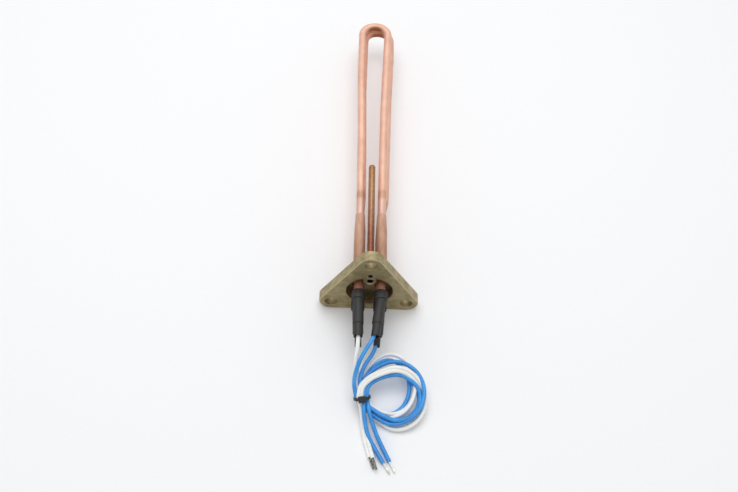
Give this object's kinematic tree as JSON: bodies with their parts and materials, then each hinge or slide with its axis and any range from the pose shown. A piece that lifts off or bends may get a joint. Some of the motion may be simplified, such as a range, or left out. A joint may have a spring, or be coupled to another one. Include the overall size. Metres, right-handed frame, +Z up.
{
  "type": "immersion heating element",
  "caption": "Immersion heater with copper U-tubes and a sensor pocket in a triangular bolted brass flange, sleeved terminals and a tied loop of leads.",
  "frame": {"origin": "centre of the flange's sealing face, on the axis of its bolt circle", "axes": "+Y along the tubes into the tank, +Z up through the top bolt hole, +X to the right seen from the terminals"},
  "size_m": [0.0812, 0.4095, 0.0667],
  "materials": {
    "flange_brass": "satin cast",
    "copper": "satin",
    "sleeve_copper": "satin, slightly oxidised",
    "pocket_copper": "satin, slightly oxidised",
    "magnesia": "matte compacted powder",
    "coil_wire": "satin",
    "pin_steel": "satin",
    "crimp_metal": "satin tinned",
    "seal_rubber": "matte",
    "black_sleeving": "matte",
    "white_insulation": "satin",
    "blue_insulation": "satin",
    "tinned_wire": "tinned",
    "tie_plastic": "matte"
  },
  "bodies": {
    "root": {"blue_lower_bare_end": "tinned_wire", "blue_lower_cold_sleeve": "sleeve_copper", "blue_lower_end_seal": "seal_rubber", "blue_lower_lead": "blue_insulation", "blue_lower_splice_crimp": "crimp_metal", "blue_lower_tail": "blue_insulation", "blue_lower_terminal_cover": "black_sleeving", "blue_lower_terminal_liner": "black_sleeving", "blue_lower_terminal_pin": "pin_steel", "blue_upper_bare_end": "tinned_wire", "blue_upper_cold_sleeve": "sleeve_copper", "blue_upper_end_seal": "seal_rubber", "blue_upper_lead": "blue_insulation", "blue_upper_splice_crimp": "crimp_metal", "blue_upper_tail": "blue_insulation", "blue_upper_terminal_cover": "black_sleeving", "blue_upper_terminal_liner": "black_sleeving", "blue_upper_terminal_pin": "pin_steel", "flange": "flange_brass", "lead_coil": "blue_insulation", "lower_heating_tube": "copper", "lower_powder_fill": "magnesia", "lower_resistance_coil": "coil_wire", "sensor_pocket": "pocket_copper", "tie": "tie_plastic", "upper_heating_tube": "copper", "upper_powder_fill": "magnesia", "upper_resistance_coil": "coil_wire", "white_lower_bare_end": "tinned_wire", "white_lower_cold_sleeve": "sleeve_copper", "white_lower_end_seal": "seal_rubber", "white_lower_lead": "white_insulation", "white_lower_splice_crimp": "crimp_metal", "white_lower_tail": "white_insulation", "white_lower_terminal_cover": "black_sleeving", "white_lower_terminal_liner": "black_sleeving", "white_lower_terminal_pin": "pin_steel", "white_upper_bare_end": "tinned_wire", "white_upper_cold_sleeve": "sleeve_copper", "white_upper_end_seal": "seal_rubber", "white_upper_lead": "white_insulation", "white_upper_splice_crimp": "crimp_metal", "white_upper_tail": "white_insulation", "white_upper_terminal_cover": "black_sleeving", "white_upper_terminal_liner": "black_sleeving", "white_upper_terminal_pin": "pin_steel"}
  },
  "joints": []
}
